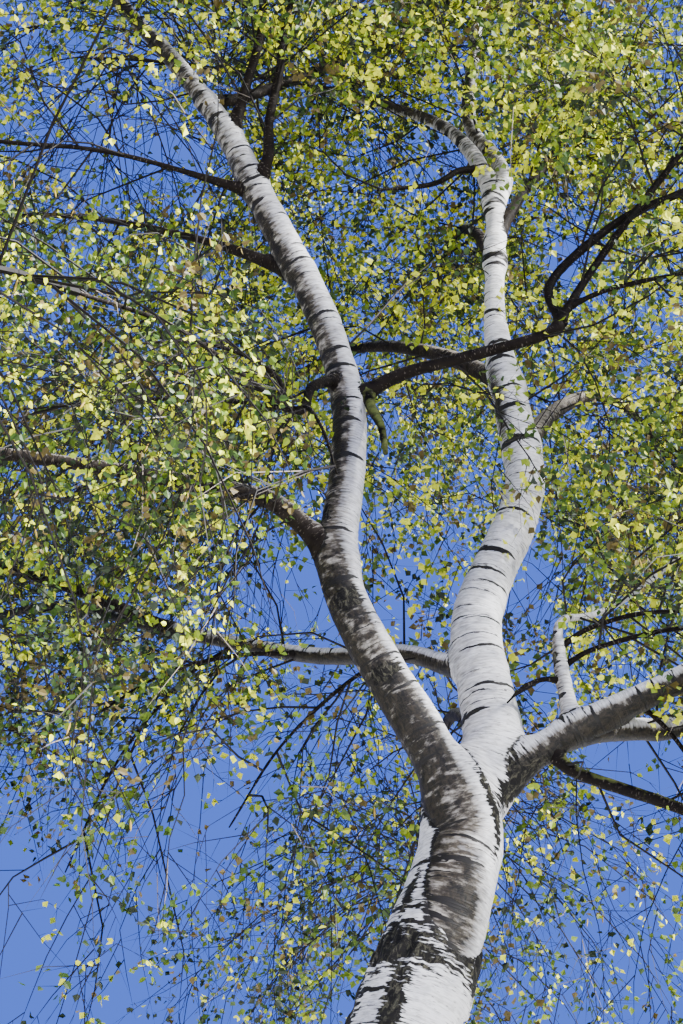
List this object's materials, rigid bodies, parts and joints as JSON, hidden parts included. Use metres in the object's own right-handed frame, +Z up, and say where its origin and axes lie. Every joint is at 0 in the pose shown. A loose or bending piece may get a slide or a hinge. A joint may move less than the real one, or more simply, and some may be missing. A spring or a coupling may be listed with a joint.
{
  "type": "birch tree",
  "caption": "Mature forked birch tree in young leaf: a leaning white trunk with a root flare, arching boughs and hanging foliage, cut flat at ground level.",
  "frame": {"origin": "on the ground under the middle of the trunk, on its flat cut", "axes": "+Z up, +X to the right as the picture sees the tree, the way the trunk leans, and +Y away from the viewer"},
  "size_m": [9.0334, 8.8988, 13.4926],
  "materials": {
    "paper_bark": "white papery bark with dark bands",
    "bough_bark": "dark rough bark",
    "young_leaf": "young yellow-green leaves on thin dark twigs"
  },
  "bodies": {
    "root": {"back_high_bough": "bough_bark", "back_high_bough_foliage": "young_leaf", "back_left_bough": "bough_bark", "back_left_bough_foliage": "young_leaf", "back_low_bough": "bough_bark", "back_low_bough_foliage": "young_leaf", "back_mid_bough": "bough_bark", "back_mid_bough_foliage": "young_leaf", "broken_hook": "bough_bark", "far_right_bough": "bough_bark", "far_right_bough_foliage": "young_leaf", "front_left_bough": "bough_bark", "front_left_bough_foliage": "young_leaf", "front_right_bough": "bough_bark", "front_right_bough_foliage": "young_leaf", "front_upright_bough": "bough_bark", "front_upright_bough_foliage": "young_leaf", "grey_bough": "bough_bark", "grey_bough_foliage": "young_leaf", "left_back_bough": "bough_bark", "left_back_bough_foliage": "young_leaf", "left_far_bough": "bough_bark", "left_far_bough_foliage": "young_leaf", "left_high_bough": "bough_bark", "left_high_bough_foliage": "young_leaf", "left_low_bough": "bough_bark", "left_low_bough_foliage": "young_leaf", "left_mid_bough": "bough_bark", "left_mid_bough_foliage": "young_leaf", "left_stem": "paper_bark", "left_stem_foliage": "young_leaf", "left_upright_bough": "bough_bark", "left_upright_bough_foliage": "young_leaf", "middle_bough": "bough_bark", "middle_outer_bough": "bough_bark", "middle_outer_bough_foliage": "young_leaf", "middle_upper_bough": "bough_bark", "middle_upper_bough_foliage": "young_leaf", "mossy_bough": "bough_bark", "mossy_bough_foliage": "young_leaf", "right_back_bough": "bough_bark", "right_bough": "bough_bark", "right_bough_foliage": "young_leaf", "right_leader": "bough_bark", "right_leader_foliage": "young_leaf", "right_stem": "paper_bark", "right_stem_foliage": "young_leaf", "top_back_bough": "bough_bark", "top_back_bough_foliage": "young_leaf", "trunk": "paper_bark", "upper_left_bough": "bough_bark", "upper_left_bough_foliage": "young_leaf", "upper_right_bough": "bough_bark", "upper_right_bough_foliage": "young_leaf", "upright_bough": "paper_bark", "upright_bough_foliage": "young_leaf"}
  },
  "joints": []
}
